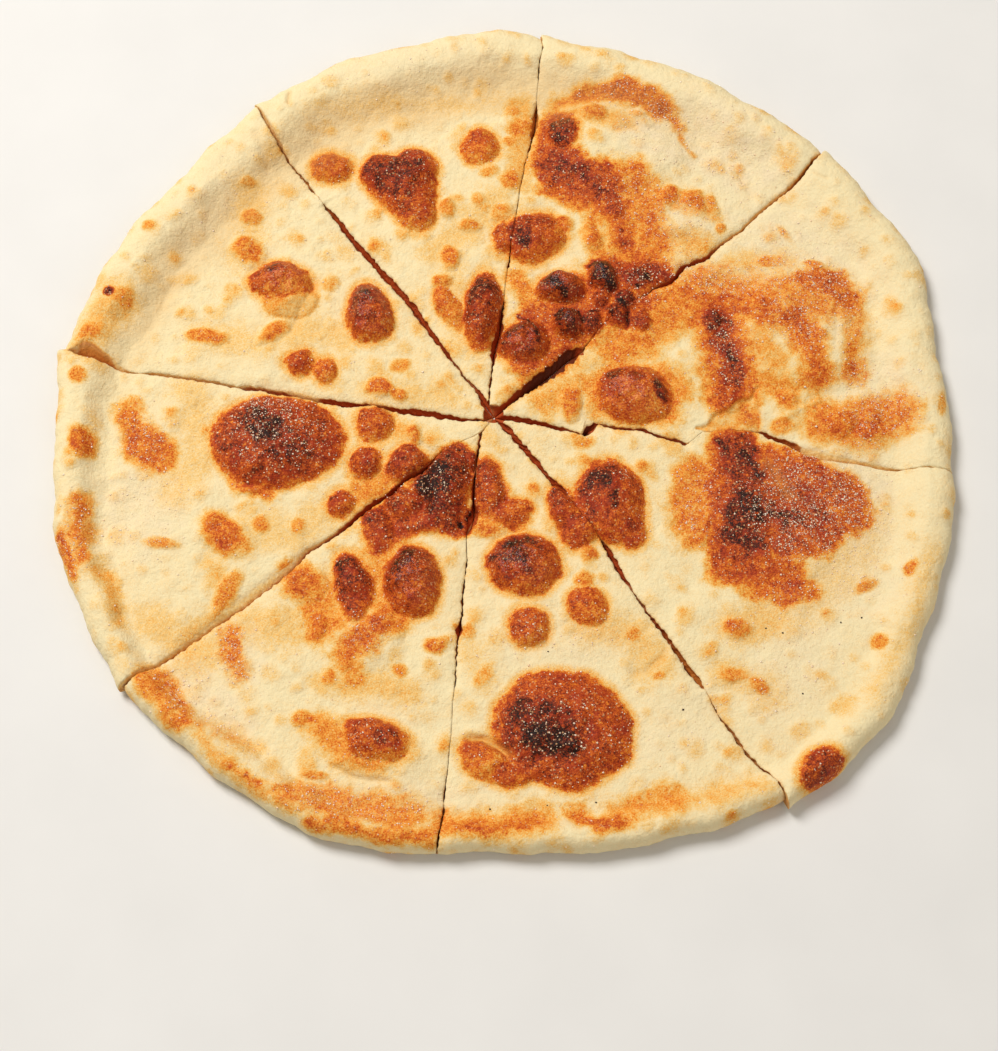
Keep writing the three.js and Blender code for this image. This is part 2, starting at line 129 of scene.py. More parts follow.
# Ovals all end with the turn of their length from +X, where there is one.
# Blisters: centre x, y, length, width, rise, and how dark they baked in hundredths.
BLISTERS = (
    # back_left
    (-66, 103.2, 16, 14, 4, 58, -10), (-45.5, 101.5, 19, 17.5, 6, 74), (-36, 101.5, 20, 20, 6, 68),
    (-34.5, 91.5, 31, 18.5, 6, 70, -88), (-41, 95, 24, 20, 5.5, 70, -45), (-21.5, 85.5, 8, 9, 2, 42),
    (-9, 113, 15, 16, 3.5, 56), (-6, 101.3, 7, 6, 1, 38), (1.5, 98.5, 11, 9, 1, 46),
    (3.5, 129, 8, 7, 0.5, 40), (6, 122, 12, 10, 0.5, 46), (3, 116.5, 7, 6, 0.5, 40),
    (-10.5, 89.5, 6, 7, 1, 36), (-1.5, 84, 10, 9, 1.2, 40), (-13, 78.3, 11, 7, 1.4, 42),
    (-21, 65, 11, 9, 2, 48, 80), (-0.5, 72.5, 9, 15, 4, 62), (-24, 55, 11, 7, 1.5, 44),
    (-21, 43.5, 20, 9, 3, 50, 112), (-8.5, 43, 33, 15, 8, 76, 83), (-8.5, 29, 9, 8, 2, 62),
    # back_right
    (10.5, 73, 25, 22, 6, 66, 35), (7.5, 72, 9, 14, 0, 82), (22, 79, 9, 8, 1.5, 50),
    (22.5, 118.5, 13, 15, 3, 80), (34, 126.5, 10, 9, 1.5, 50), (51, 125.5, 9, 5, 0.8, 36, -20),
    (42, 85.5, 7, 8, 1.5, 76), (34, 72, 10, 8, 1.5, 50), (64, 91.5, 10, 8, 1.5, 50, 80),
    (73, 88, 12, 9, 1.5, 46, 100), (79, 87, 9, 7, 1, 42, 120), (82, 77.5, 5, 5, 0.6, 45),
    (7.5, 29, 20, 18.5, 8, 72, 60), (8, 19, 17, 10, 1.5, 56), (20.5, 51.3, 19.5, 13, 7.5, 74),
    (24, 36.2, 12.5, 13.5, 7.5, 82), (36.5, 56.3, 14.5, 11.5, 7, 84, 95), (35.5, 46.5, 8, 9, 3, 70),
    (44, 46.5, 9, 10, 2.5, 84), (42, 39.5, 8.5, 11, 4, 78), (32.5, 36.5, 11, 8, 3, 74, 100),
    (51, 38.5, 9, 9, 2.5, 66), (50, 57, 15, 11, 2, 80), (54, 57.5, 3.2, 3, -1.5, 99),
    (50, 53, 4, 2.5, -1, 97),
    # right_back
    (47.5, 7.5, 29, 24, 8, 59, -15), (40.5, 14, 10, 8, 0.5, 84, 45), (57, 7.5, 13, 8, 0, 82, -62),
    (48, 12, 8, 7, 0, 76), (24, 3.5, 10, 15, 2, 50), (106.5, 75, 10, 4, 0.8, 34, 130),
    (99, 62.5, 14, 7, 1, 42, 15), (116, 61, 12, 5, 1, 44, -15), (75, 58, 10, 11, 1, 44),
    (76, 38, 10, 12, 2, 74), (82, 6.5, 12, 11, 1.5, 56), (95, 45.5, 8, 6, 1, 52),
    (104, 4, 10, 9, 1.5, 46, 60), (102, -5.5, 10, 7, 0.5, 42), (124, -4, 11, 13, 1.5, 52),
    (134, -2, 9, 8, 1.2, 48), (133, -9, 16, 8, 1, 50), (145, 0, 6, 10, 0.5, 44), (161, 2, 14, 5, 0, 36, 85),
    # right_front
    (82, -84.5, 13, 11, 2.2, 48), (80.5, -101, 12, 7, 1.2, 42, -15), (88, -106, 10, 7, 1, 44, -40),
    (128.5, -68.5, 10, 6, 0.5, 42, 25), (144.5, -62, 8, 5, 0.5, 46, 70), (131.5, -89.5, 8, 6, 0.5, 46),
    (109.5, -138, 19, 14, 3, 70, 50), (29, -11, 9, 7, 0.5, 40), (38.5, -35, 34, 25, 7, 70, 104),
    (33.5, -28, 15, 12, 0, 82, -20), (39, -36, 12, 8, 0, 78, 100), (46, -48, 11, 13, 2.5, 64),
    # front_right
    (21.5, -38.5, 22, 12, 4, 66, 112), (27, -47, 16, 14, 4, 66, 60), (31, -55, 7, 6, 1, 50),
    (-6, -30.5, 26, 13, 4, 66, 95), (2, -40, 15, 12, 3, 56, 10), (-6, -46, 14, 9, 1, 46),
    (-11, -41, 8, 5.5, -2, 99, 80), (-15.5, -44, 3, 2.5, -1, 98), (7, -60, 27, 25, 8, 70),
    (4, -57, 18, 13, 0, 78, -35), (28, -65.3, 9, 9, 1, 46), (29.5, -76.5, 15, 14, 3, 57, 120),
    (8, -84, 15, 15, 4, 60), (45, -86, 6, 6, 0.3, 40), (54.5, -102, 5, 4, 0.3, 42),
    (-13, -84.5, 8, 8, 0.6, 38), (-8, -102, 14, 6, 0.6, 36, 55), (20, -121.5, 50, 43, 8, 67, -12),
    (14, -123, 42, 34, 0, 81, -10), (16, -127, 30, 19, 0, 87, -10), (5, -114, 16, 9, 0, 82, 20),
    (-6, -133, 22, 14, 4, 50, -35), (2, -138, 16, 9, 3, 60),
    # front_left
    (-21.5, -31, 34, 18, 6, 72, 86), (-25.5, -29.5, 23, 15, 0, 92, 80), (-29.5, -29, 9, 7, 0, 98, 80),
    (-36.5, -36, 16, 14, 4, 66), (-45.5, -46, 17, 13, 3, 66, 105), (-30, -44, 24, 10, 2, 56),
    (-54.5, -68, 28, 14, 5, 76, 103), (-50, -87, 14, 14, 1, 50), (-33.5, -66.5, 23, 26, 9, 70),
    (-36, -60, 13, 9, 0, 84, 30), (-24, -91, 9, 7.5, 1, 52), (-18, -82, 4, 3, 0.5, 42),
    (-37, -99.5, 6, 5, 0.4, 40), (-52, -103, 9, 6, 0.4, 42), (-62, -103, 7, 8, 0.6, 42),
    (-45, -125.5, 25, 16, 6, 60, -18), (-41, -126, 15, 11, 0, 70, -10), (-72, -68, 18, 15, 1.6, 46),
    (-66, -83.5, 6, 11, 1.4, 50), (-70, -118, 10, 7, 1, 47, -20), (-66, -138, 11, 5, 0.8, 42, -15),
    (-46, -84, 8, 8, 1, 50),
    # left_front
    (-157, 13, 7, 7, 0.4, 44), (-153.5, -14, 15, 11, 1, 54, 95), (-83.5, -11.5, 50, 38, 8, 71),
    (-90, -6, 24, 20, 0, 87, -40), (-80, -15, 30, 20, 0, 77, -30), (-93, -31, 10, 5, 1, 48),
    (-101, -48, 25, 17, 2.4, 54, -35), (-88, -44.3, 8, 7, 0.8, 44), (-75, -44.8, 8, 9, 1, 40),
    (-59, -35.8, 12, 12, 3.5, 66), (-123, -52.5, 16, 5, 0.5, 40, -12), (-48, -4.8, 13, 14, 4, 60),
    (-33, -8.5, 8, 11, 2, 46), (-51, -20.3, 12.5, 14, 4.5, 66), (-36, -20.5, 16, 15, 5, 70, 60),
    (-99, -70, 22, 10, 1, 44, 60),
    # left_back
    (-97.5, 95.5, 8, 5, 0.8, 38, 10), (-96.5, 82, 10, 6, 1.2, 44), (-97, 67.5, 17, 14, 2.4, 48, -20),
    (-84.5, 54.5, 24, 17, 7, 58), (-81, 47.5, 21, 18, 3.6, 34, -10), (-86, 57.5, 12, 6, 0, 76, -10),
    (-134.5, 75, 6, 5, 0.3, 40), (-66, 54.5, 9, 8, 1, 34), (-142, 46, 9, 11, 0.5, 42),
    (-154, 31, 13, 8, 1, 44, 30), (-111, 31, 18, 8, 1.5, 46), (-86.5, 33, 14, 9, 2, 47, 40),
    (-76, 20.2, 12.5, 11.5, 3.5, 62), (-66.5, 16.8, 12, 9, 3, 54, 100), (-50.5, 40.8, 25, 18, 8, 70, 94),
    (-52, 44, 9, 12, 0, 82), (-46, 10.5, 13, 9, 2, 54), (-39.5, 8, 8, 7, 1, 48), (-38.5, 19.5, 8, 7, 0.8, 40),
    (-147.5, 48, 4.2, 4.2, 0.5, 92),
)

# Broad puffs that keep the colour of the crust: centre x, y, length, width, rise.
SWELLS = (
    (45, 114, 62, 58, 3.6), (111, 34, 56, 60, 3.6), (104, -38, 66, 60, 2.6), (-50, -88, 32, 30, 2),
    (30, 46, 50, 40, 1.5, 30), (-46, -128, 52, 24, 1.6, -20), (128, -5, 44, 26, 1.2, -10),
    (64, 84, 40, 26, 1.5, -20), (-120, -50, 60, 40, 1, 60), (70, -90, 60, 40, 0.8, 60),
    (20, -80, 70, 40, 0.6), (-20, 95, 70, 40, 0.6), (-102, 20, 60, 30, 0.8),
)

# Stains with no rise of their own: how dark in hundredths, how wide, how soft at the edge, then x and y
# of each point.
STAINS = (
    # back_left
    (34, 12, 5, 6, 132, 8, 118, 5, 98), (24, 16, 6, -4, 90, -14, 76, -26, 68),
    (22, 18, 7, -22, 60, -20, 44, -12, 30), (20, 9, 6, -72, 128, -42, 131, -5, 133),
    # back_right
    (50, 7, 3, 20, 131.5, 29, 135), (52, 9, 3, 30, 135, 40, 136.5, 48, 136),
    (56, 11, 3.5, 44, 136, 54, 133, 61, 128), (50, 5, 3, 62, 127, 67, 120),
    (38, 3, 1.5, 68, 117, 70.5, 112, 73, 109), (34, 9, 5, 18, 127, 32, 126, 48, 122),
    (62, 15, 4, 20, 123, 17, 108, 22, 99), (68, 18, 4.5, 20, 106, 29, 100, 38, 96),
    (74, 10, 5, 19, 107, 26, 102, 32, 98), (72, 9, 5, 27, 94, 36, 94), (52, 12, 6, 42, 101, 50, 101),
    (58, 12, 5, 18, 94, 28, 91, 40, 90), (53, 14, 6, 41, 88, 45, 76, 46, 68), (76, 4, 3, 40, 86, 41, 84),
    (74, 6, 4, 44, 76, 45, 71), (48, 20, 7, 50, 91, 54, 80, 54, 68), (42, 10, 5, 58, 93, 66, 90, 78, 84),
    (46, 11, 5, 35, 84, 34, 72, 38, 62), (44, 10, 5, 4, 56, 9, 46, 14, 40),
    (60, 30, 6, 14, 30, 28, 44, 44, 48), (72, 14, 5, 40, 60, 50, 58, 58, 58), (42, 10, 5, 8, 12, 18, 20),
    (34, 14, 6, 60, 74, 74, 70), (93, 2.4, 1.2, 5, 40, 9, 38, 12, 33, 12, 28),
    (90, 4.5, 2, 15.5, 53, 18.5, 50.5, 22, 47), (95, 3.4, 1.4, 19.5, 39, 22, 42.5, 27.5, 41.5, 29.5, 37),
    (88, 8, 3, 34, 61, 37, 58, 39, 52), (90, 2, 1.5, 29, 39, 33, 40, 36, 41),
    (90, 3, 2, 45, 35, 46, 41, 43, 45),
    # right_back
    (46, 20, 6, 42, 29, 56, 36, 70, 47), (40, 9, 5, 44, 21, 56, 25),
    (45, 24, 8, 72, 50, 92, 48, 112, 46, 121, 46), (52, 23, 5, 79, 42, 82, 26, 84, 9),
    (73, 14, 5, 79, 41, 82, 28, 86, 14), (80, 8, 5, 79, 38, 82, 30, 84, 18), (60, 14, 5, 83, 13, 82, 7),
    (53, 15, 7, 90, 44, 102, 39, 110, 36), (36, 12, 5, 95, 32, 98, 20),
    (54, 14, 6, 106, 38, 112, 28, 116, 14), (56, 15, 5, 115, 54, 123, 53.5, 128, 48),
    (40, 11, 6, 130, 49, 130.5, 36, 129, 20), (50, 10, 5, 128, 24, 130, 16),
    (42, 13, 5, 90, 15, 98, 13, 104, 8), (46, 20, 6, 117, -3, 130, -6, 143, 0),
    (54, 10, 5, 120, -6, 128, -8, 136, -5), (38, 14, 6, 16, 4, 28, 12, 36, 14), (44, 26, 5, 40, 10, 56, 8),
    (30, 12, 6, 86, 62, 106, 62), (38, 14, 6, 66, 58, 80, 58),
    # right_front
    (60, 22, 4, 84, -14, 83, -36, 82, -58), (58, 16, 4, 88, -18, 104, -24, 124, -32),
    (58, 24, 5, 98, -28, 116, -34, 122, -40), (56, 9, 3, 90, -13, 99, -16, 108, -20.5, 116, -25),
    (66, 22, 6, 92, -34, 108, -40), (65, 24, 5, 86, -50, 102, -48, 112, -46),
    (78, 18, 5, 85, -16, 87, -28, 86, -48), (80, 13, 6, 88, -40, 98, -42, 106, -42),
    (77, 12, 6, 80, -38, 82, -48, 90, -54), (90, 6, 4, 86, -17, 91, -22, 93, -27),
    (87, 10, 5, 87, -33, 89, -38), (85, 5, 3.5, 92, -41, 98, -43, 102, -42), (84, 4, 2.5, 78, -10, 81, -14),
    (58, 16, 4, 80, -59, 91, -62, 101, -64), (54, 12, 4, 90, -68, 100, -72, 107, -70),
    (46, 20, 5, 70, -26, 67, -36, 69, -46), (20, 26, 8, 100, -76, 116, -62, 128, -44),
    (26, 18, 6, 82, -84, 96, -80), (24, 14, 6, 78, -100, 92, -108),
    (22, 10, 6, 152, -56, 143, -86, 128, -110),
    # front_right
    (45, 13, 5, -20, -156, -4, -157, 12, -155), (56, 6, 4, -16, -158, -6, -158, 9, -157),
    (54, 9, 5, 25, -152, 30, -156, 38, -155), (40, 12, 5, 38, -152, 48, -150, 60, -147),
    (31, 10, 6, 62, -148, 86, -144), (56, 14, 2.5, -7, -24, -4, -36, 3, -40),
    (26, 16, 7, 30, -84, 46, -86, 52, -98), (20, 12, 5, -14, -88, -8, -104),
    (80, 6, 3, 2, -54, 8, -52, 12, -55), (80, 4, 2.5, 6, -58, 7, -64),
    # front_left
    (74, 18, 2.5, -18, -20, -25, -30, -22, -38), (66, 14, 2.5, -16, -42, -30, -42, -44, -42),
    (60, 9, 3, -34, -46, -46, -52), (50, 14, 5, -40, -80, -48, -84, -54, -94),
    (46, 13, 5, -76, -64, -68, -72, -66, -86), (38, 26, 6, -42, -58, -58, -74),
    (42, 15, 6, -64, -122, -54, -129, -44, -133), (28, 12, 6, -64, -104, -44, -106, -34, -108),
    (48, 10, 5, -98, -86, -97, -93, -94, -99), (46, 14, 4, -124, -104, -119, -110, -114, -118),
    (34, 8, 5, -110, -118, -98, -124, -88, -129), (44, 14, 5, -74, -146, -52, -150, -32, -153),
    (36, 8, 5, -108, -122, -98, -134, -82, -146), (48, 5, 3, -94, -136, -84, -142),
    (50, 8, 4, -66, -156, -46, -160, -26, -161), (24, 20, 8, -110, -96, -90, -82, -76, -84),
    # left_front
    (49, 13, 4, -138, 0, -135, -8), (52, 17, 4, -132, -12, -127, -17),
    (46, 10, 4, -153, -37, -152, -48, -151, -58), (54, 9, 4, -159, -52, -156, -64),
    (34, 8, 5, -146, -63, -140, -70, -136, -82), (44, 13, 5, -56, -34, -46, -28, -36, -20),
    (30, 10, 5, -104, -62, -98, -76, -112, -86), (52, 9, 4, -97, -27, -87, -32),
    (32, 14, 6, -52, -4, -36, -8), (22, 18, 7, -116, 8, -110, -14, -120, -30),
    (22, 18, 7, -90, -46, -74, -48, -66, -40), (24, 16, 7, -126, -82, -110, -92),
    # left_back
    (30, 16, 6, -144, 46, -152, 34, -156, 26), (22, 16, 7, -112, 31, -92, 30),
    (24, 16, 7, -82, 32, -70, 34, -60, 30), (24, 12, 6, -50, 10, -34, 10, -22, 6),
    (22, 16, 7, -98, 92, -96, 74, -100, 64),
)

# Where flour and semolina lie: centre x, y, length, width, and how thickly in hundredths.
FLOURED = (
    (84, 112, 80, 44, 90, -40), (60, 118, 44, 36, 95), (50, 92, 34, 22, 40), (66, 80, 36, 26, 70),
    (75, 58, 40, 20, 90, -20), (112, 66, 86, 44, 80, -40), (116, 40, 56, 44, 60), (84, 26, 44, 30, 40, 80),
    (108, -38, 50, 54, 80), (128, -34, 34, 60, 90), (126, -66, 50, 40, 50), (138, 8, 44, 44, 80),
    (-83, -10, 46, 34, 35), (-86, 2, 34, 12, 70), (20, -122, 46, 44, 16), (-24, -32, 26, 26, 14),
    (-132, -8, 30, 28, 50), (-132, -40, 44, 50, 70, 20), (-94, -94, 34, 22, 80, 110), (-50, -88, 24, 22, 50),
    (-46, -127, 30, 20, 25), (-104, -112, 60, 26, 80, -40), (-56, -148, 66, 18, 60, -12),
    (104, -74, 40, 30, 40), (27, 102, 28, 24, 12), (48, 136, 50, 16, 40), (52, 52, 24, 22, 35),
    (70, -36, 26, 44, 40), (92, 54, 56, 18, 90), (82, -84, 20, 18, 30), (-154, -50, 50, 16, 40, 100),
    (-112, 90, 90, 26, 30, 60), (-40, 148, 100, 24, 35, 10), (20, -90, 70, 30, 35),
    (60, -120, 60, 34, 40, 40), (-30, -146, 60, 16, 50), (100, -100, 70, 40, 45, 60),
)

# Creases: how deep, how wide, how far the left side stands above the right, then x and y of each point.
CREASES = (
    (0.6, 0.9, 1.2, 109, 16, 112, 11, 115, 4, 115.5, -5, 114, -14),
    (-0.9, 1.4, 0.2, 98, -4, 104, -1, 111, 2.5, 108, 6, 103, 9), (0.5, 1, 0.5, 93.5, 8, 93.5, 1, 95, -5),
    (1, 1.8, 0.6, -70, 58, -72, 50, -77, 40, -80, 30), (0.5, 3, 0.2, -139, 27, -132, 38, -128, 48, -123, 62),
    (0.4, 1.2, 0.3, 124, 45, 123.5, 34, 123, 22), (0.6, 0.8, 0, 116, 100, 121, 97, 124, 95),
    (0.5, 0.8, 0, 134, 82, 139, 79, 142, 77), (0.6, 1.3, 0.4, 89, 103, 92, 97, 96, 90),
    (1, 1, 0.8, -62, -133, -55, -137, -48, -139.5, -37, -140),
    (0.6, 0.9, 0, -100, -117, -95, -119, -88, -124), (2.4, 1.3, 1.2, -16, -125, -8, -125, -2, -128, 3, -133),
    (1, 2.2, 0, 93, -17, 98, -24, 101, -31, 106, -36), (0.8, 1.3, 0.4, 58, -88, 56, -95, 50, -100, 42, -102),
    (1.2, 1, 0, -83.5, 127, -83, 131, -83.5, 136), (0.6, 1.8, 0, -97, 118, -93, 110, -90, 100),
    (0.5, 1.4, 0.3, 40, 118, 52, 121, 64, 118),
)

# Tiny burnt specks on the pale crust.
SPECKS = (
    (15, -92.5), (41, -114), (31.5, -148), (14.5, -149), (-5, -150), (98, -86), (92.5, -84.5), (119, -82),
    (126.5, -80), (104.5, -108.5), (62, -114.5),
)

# ---- How finely the crust is divided ----
SPACING = 0.62
RIM_ROWS = 22
WALL_LEVELS = 7
UNDER_SPACING = 3
UNDER_RIM_SPACING = 1.2
HAIRLINE = 0.04
LOW_HAIRLINE = 0.008
LIP_GAP = 0.01
HUB_LIP = 0.25
POINT_WIDTH = 0.9
POINT_STARTS = np.arange(3.5, 14, 0.25)
TIP_TURN = 1e-4
GRAINS = 9000
SPECK_SIZE = 0.8

RANDOM = np.random.default_rng(20)
LATTICE = RANDOM.uniform(0, 2 * math.pi, (256, 256))


def smooth(low, high, value):
    share = np.clip((value - low) / (high - low), 0, 1)
    return share * share * (3 - 2 * share)


def mix(first, second, share):
    return first + (second - first) * share


def arch(share):
    """A quarter circle, from 0 at a share of 0 up to 1 at a share of 1."""
    return np.sqrt(1 - (1 - np.clip(share, 0, 1)) ** 2)


def noise(x, y, size, seed):
    """Smooth unevenness from about -1 to 1, with hills about `size` across."""
    u = (x * math.cos(seed) - y * math.sin(seed)) / size + 37.7 * seed
    v = (x * math.sin(seed) + y * math.cos(seed)) / size + 91.3 * seed
    column = np.floor(u).astype(int)
    row = np.floor(v).astype(int)
    u = u - column
    v = v - row

    def corner(right, up):
        angle = LATTICE[(column + right) & 255, (row + up) & 255]
        return np.cos(angle) * (u - right) + np.sin(angle) * (v - up)

    across = u * u * u * (u * (u * 6 - 15) + 10)
    along = v * v * v * (v * (v * 6 - 15) + 10)
    low = mix(corner(0, 0), corner(1, 0), across)
    high = mix(corner(0, 1), corner(1, 1), across)
    return 1.5 * mix(low, high, along)


def ripples(x, y, *layers):
    """Layers of noise, each with its height, size and seed, added up."""
    return sum(height * noise(x, y, size, seed) for height, size, seed in layers)


def spots(x, y, size, seed):
    """How far inside scattered round spots a point is, from 0 to 1; the spots are about `size` apart."""
    u = x / size + 37.7 * seed
    v = y / size + 91.3 * seed
    column = np.floor(u).astype(int)
    row = np.floor(v).astype(int)
    inside = np.zeros_like(x)
    for right in (-1, 0, 1):
        for up in (-1, 0, 1):
            chance = LATTICE[(column + right) & 255, (row + up) & 255]
            du = u - column - right - 0.5 - 0.35 * np.cos(chance)
            dv = v - row - up - 0.5 - 0.35 * np.sin(chance)
            strength = np.mod(chance * 7, 1)
            spot = 1 - smooth(0.1, 0.2 + 0.25 * strength, np.hypot(du, dv))
            inside = np.maximum(inside, strength * spot)
    return inside


def around(values, angle):
    """A smooth closed curve through values spaced evenly round the bread."""
    values = np.asarray(values)
    place = np.mod(angle / (2 * math.pi), 1) * len(values)
    before = np.floor(place).astype(int)
    t = place - before
    a, b, c, d = (values[(before + k) % len(values)] for k in (-1, 0, 1, 2))
    return b + 0.5 * t * (c - a + t * (2 * a - 5 * b + 4 * c - d + t * (3 * (b - c) + d - a)))


def outline_noise(angle, *layer):
    """Unevenness along the outline."""
    arc = RADIUS * np.mod(angle, 2 * math.pi)
    return ripples(arc, arc * 0, layer)


def reach_at(angle):
    """From the hub to the outline, with its waves and small nicks."""
    waves = np.sin(17 * angle) + np.sin(29 * angle + 2) + np.sin(47 * angle + 4)
    return around(REACH, angle) + 0.35 * waves + outline_noise(angle, 0.4, 4, 3) - 0.3


def rim_width(angle):
    return around(RIM_WIDTH, angle)


def rim_crest(angle):
    return around(RIM_CREST, angle) + outline_noise(angle, 0.8, 26, 5)


def ovals_over(x, y, ovals, facts, reach=0.75):
    """Yields each oval, the points that it can touch, and how far out they are, from 0 to 1 at its edge."""
    for oval in ovals:
        turn = math.radians((*oval, 0)[facts])
        size = max(oval[2], oval[3]) * reach + 3
        dx = x - oval[0]
        dy = y - oval[1]
        at = np.nonzero((abs(dx) < size) & (abs(dy) < size))[0]
        along = (dx[at] * math.cos(turn) + dy[at] * math.sin(turn)) * 2 / oval[2]
        across = (dy[at] * math.cos(turn) - dx[at] * math.sin(turn)) * 2 / oval[3]
        yield oval, at, np.hypot(along, across)


def bent(x, y):
    """The same places on warped paper, so that nothing on the crust is a true ellipse."""
    dx = ripples(x, y, (1.5, 13, 11), (0.45, 5, 12))
    return x + dx, y + ripples(x, y, (1.5, 13, 13), (0.45, 5, 14))


def blister_lift(x, y):
    """How far the blisters raise the crust."""
    bx, by = bent(x, y)
    lift = np.zeros_like(x)
    for blister, at, out in ovals_over(bx, by, BLISTERS, 6):
        dome = np.hypot(np.clip(1.04 - out * out, 0, 1) ** 0.8, 0.12) - 0.12
        lift[at] += (blister[4] * dome) ** 3
    lumps = 1 + 0.14 * noise(x, y, 7, 21) + 0.08 * noise(x, y, 3, 22)
    swell = np.zeros_like(x)
    for puff, at, out in ovals_over(bx, by, SWELLS, 5):
        swell[at] += (puff[4] * (1 - smooth(0.45, 1.05, out))) ** 2
    return np.cbrt(lift) * lumps + np.sqrt(swell) + 0.6 * spots(bx, by, 14, 3) + 0.4 * spots(bx, by, 8, 5)


def beside_strokes(x, y, numbers, reach):
    """The points that a run of strokes can touch, how far off, on which side and how far along they are."""
    points = np.reshape(numbers, (-1, 2))
    low = points.min(0) - reach
    high = points.max(0) + reach
    at = np.nonzero((x > low[0]) & (x < high[0]) & (y > low[1]) & (y < high[1]))[0]
    best = np.full(len(at), np.inf)
    side = along = best
    for n, (start, end) in enumerate(zip(points, points[1:])):
        run = end - start
        length = math.hypot(*run)
        dx = x[at] - start[0]
        dy = y[at] - start[1]
        share = np.clip((dx * run[0] + dy * run[1]) / length ** 2, 0, 1)
        offset = np.hypot(dx - share * run[0], dy - share * run[1])
        closer = offset < best
        side = np.where(closer, (run[0] * dy - run[1] * dx) / length, side)
        along = np.where(closer, (n + share) / (len(points) - 1), along)
        best = np.where(closer, offset, best)
    return at, best, side, along


def baked(x, y):
    """How dark the crust baked from 0 to 1, with painted glow on small blisters, and how glossy its blisters
    are.
    """
    bx, by = bent(x, y)
    crisp = ripples(x, y, (0.6, 4, 31), (0.5, 1.6, 32))
    ragged = ripples(x, y, (2.4, 9, 33), (1.8, 3.6, 36), (1.1, 1.5, 37))
    mottle = ripples(x, y, (0.09, 4.6, 34), (0.1, 1.7, 35))
    brown = np.zeros_like(x)
    gloss = np.zeros_like(x)
    for blister, at, out in ovals_over(bx, by, BLISTERS, 6, 0.9):
        rise = blister[4]
        dark = blister[5] / 100
        radius = (blister[2] + blister[3]) / 4
        outside = (out - 1) * radius
        if rise >= 2.5:
            cover = 1 - smooth(-0.6, 1.6, outside + crisp[at])
            core = 1 - smooth(-min(0.32 * radius, 3.6), 0.4, outside + 1.4 * crisp[at])
            # Small blisters are darker toward the upper left, partly real browning, and lighter toward the
            # lower right as a painted glow.
            painted_glow_tilt = (radius < 16) * 0.1 * (by[at] - blister[1] - bx[at] + blister[0]) / max(radius, 12)
            body = mix(min(dark, 0.46 if rise < 7 else 0.54), dark + painted_glow_tilt, core)
            body = np.maximum(body * cover, min(0.3, 0.5 * dark) * (1 - smooth(0.5, 4.5, outside)))
        else:
            outside = outside + min(0.6, 0.055 * radius) * ragged[at]
            body = dark * (1 - smooth(-0.55 * radius, 1 + 0.15 * radius, outside))
        brown[at] += body ** 8
        if rise >= 7 and blister[2] < 30:
            gloss[at] = np.maximum(gloss[at], 1 - smooth(0.5, 1, out))
    for dark, width, soft, *points in STAINS:
        at, away, _, _ = beside_strokes(bx, by, points, width / 2 + soft + 6)
        cover = 1 - smooth(-soft, soft, away - width / 2 + min(soft / 6, 1) * ragged[at])
        brown[at] += (dark / 100 * cover) ** 8
    brown = brown ** 0.125
    ground = 0.03 + 0.06 * smooth(110, 30, np.hypot(x - HUB[0], y - HUB[1])) + 0.03 * noise(x, y, 22, 46)
    ground = ground + 0.05 * noise(x, y, 9, 38) + 0.04 * noise(x, y, 3.2, 39)
    ground = ground + 0.22 * spots(bx, by, 14, 3) + 0.18 * spots(bx, by, 8, 5)
    brown = np.maximum(brown, ground) + mottle * smooth(0.12, 0.6, brown)
    return np.clip(brown, 0, 1), gloss


def floured(x, y):
    """How thickly flour lies."""
    bx, by = bent(x, y)
    flour = np.zeros_like(x)
    for patch, at, out in ovals_over(bx, by, FLOURED, 5, 0.85):
        cover = 1 - smooth(0.3, 1.15, out + 0.2 * noise(x[at], y[at], 5, 41))
        flour[at] = np.maximum(flour[at], patch[4] / 100 * cover)
    return flour


def crease_marks(x, y):
    """How far the creases sink the crust, and how deep in a crease a point is, which sets painted shade
    there.
    """
    sink = np.zeros_like(x)
    inside = np.zeros_like(x)
    for depth, width, step, *points in CREASES:
        at, away, side, along = beside_strokes(x, y, points, 12)
        side = side + 0.5 * noise(x[at], y[at], 5, 51)
        ends = smooth(0, 0.2, along) * smooth(0, 0.2, 1 - along)
        groove = np.exp(-((side / width) ** 2)) * ends * (away < 4 * width)
        shelf = step * smooth(-0.6, 0.6, side) * np.exp(-away / 3.5) * ends
        sink[at] += depth * groove - shelf
        inside[at] = np.maximum(inside[at], min(0.45 * depth, 1) * groove)
    return sink, inside


def skin_relief(x, y, brown, gloss):
    """The finer bumps and wrinkles of browned skin."""
    pebbles = ripples(x, y, (0.24, 2.4, 71), (0.16, 1.3, 72))
    folds = 0.9 * (0.35 - abs(noise(x, y, 5.5, 73))) + 0.4 * (0.3 - abs(noise(x, y, 2.6, 74)))
    folded = np.maximum(gloss, 0.5 * smooth(0.8, 0.95, brown))
    return smooth(0.4, 0.75, brown) * (pebbles + folded * folds)


# The corners of the torn skin beside the east cut, where an inner layer shows, and its depth.
TEAR = np.array([(70, -6), (93.3, -7), (92.8, 9.5)])
TEAR_DEPTH = 1.3


def torn(x, y):
    """How far a point lies inside the torn place."""
    inside = np.full_like(x, np.inf)
    for start, end in zip(TEAR, np.roll(TEAR, -1, axis=0)):
        run = (end - start) / math.hypot(*(end - start))
        inside = np.minimum(inside, run[0] * (y - start[1]) - run[1] * (x - start[0]))
    return smooth(-0.4, 0.4, inside + 1.3 * noise(x, y, 6, 61) + 0.5 * noise(x, y, 2, 64))


